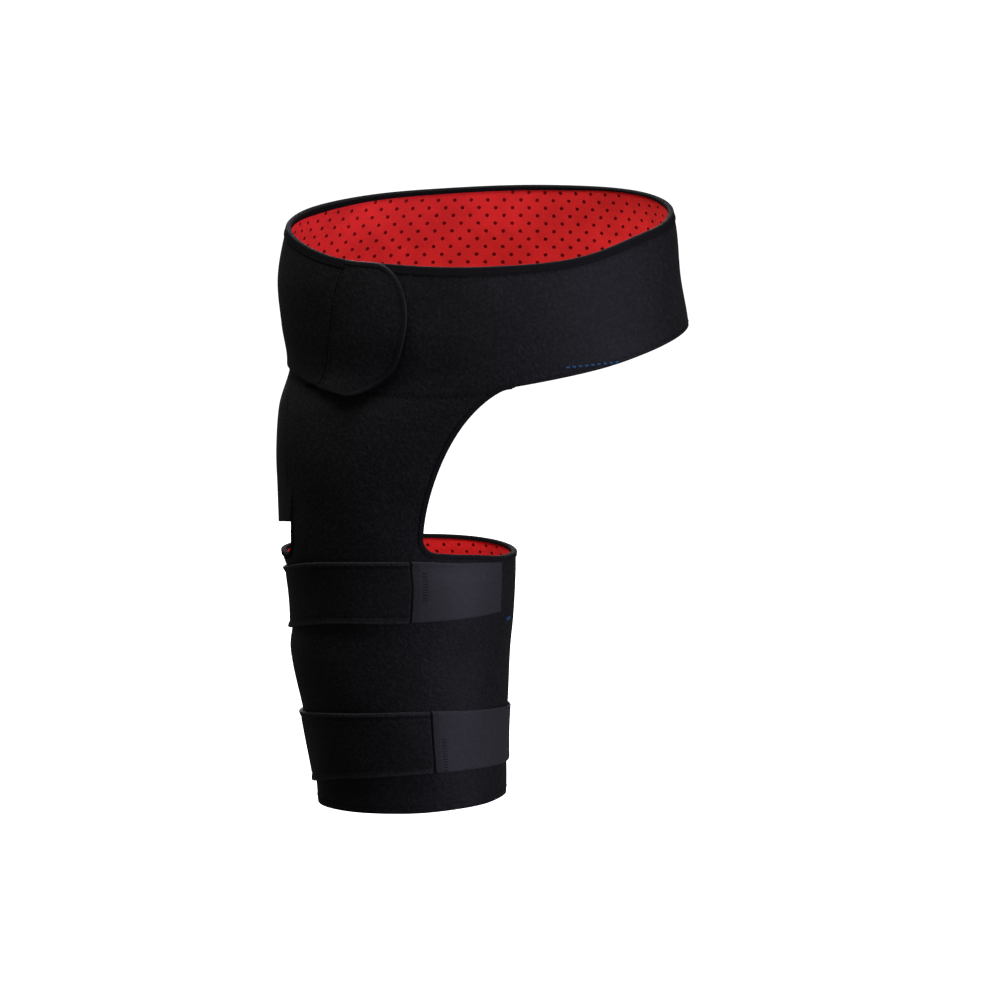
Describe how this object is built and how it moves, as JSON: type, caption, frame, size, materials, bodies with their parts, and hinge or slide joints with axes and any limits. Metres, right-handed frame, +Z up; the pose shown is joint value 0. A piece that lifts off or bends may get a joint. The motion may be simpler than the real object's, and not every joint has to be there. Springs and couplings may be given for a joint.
{
  "type": "hip and thigh compression brace",
  "caption": "Black wrap brace with red perforated lining: waist belt with round-ended closure flap, hip panel with groin arch, and a strapped thigh cuff.",
  "frame": {"origin": "middle of the waist belt's hollow, at half the belt's height, where the wearer's waist sits", "axes": "+Z up along the wearer's body, -Y to the wearer's front, +X away from the braced thigh"},
  "size_m": [0.3693, 0.2508, 0.5506],
  "materials": {
    "loop_cloth": "brushed loop-pile cloth laminated on neoprene, matte black with fine grey speckle",
    "red_lining": "red perforated neoprene, matte with staggered round holes",
    "binding_tape": "smooth folded black edge tape with a slight sheen",
    "hook_tape": "smooth charcoal-grey woven back of hook tape"
  },
  "bodies": {
    "root": {"waist_belt": "loop_cloth", "waist_lining": "red_lining", "closure_flap": "loop_cloth", "waist_binding": "binding_tape", "flap_binding": "binding_tape", "hip_panel": "loop_cloth", "hip_lining": "red_lining", "side_tab": "loop_cloth", "thigh_cuff": "loop_cloth", "thigh_lining": "red_lining", "arch_binding": "binding_tape", "rear_binding": "binding_tape", "upper_strap": "loop_cloth", "lower_strap": "loop_cloth", "upper_hook_tape": "hook_tape", "lower_hook_tape": "hook_tape"}
  },
  "joints": []
}
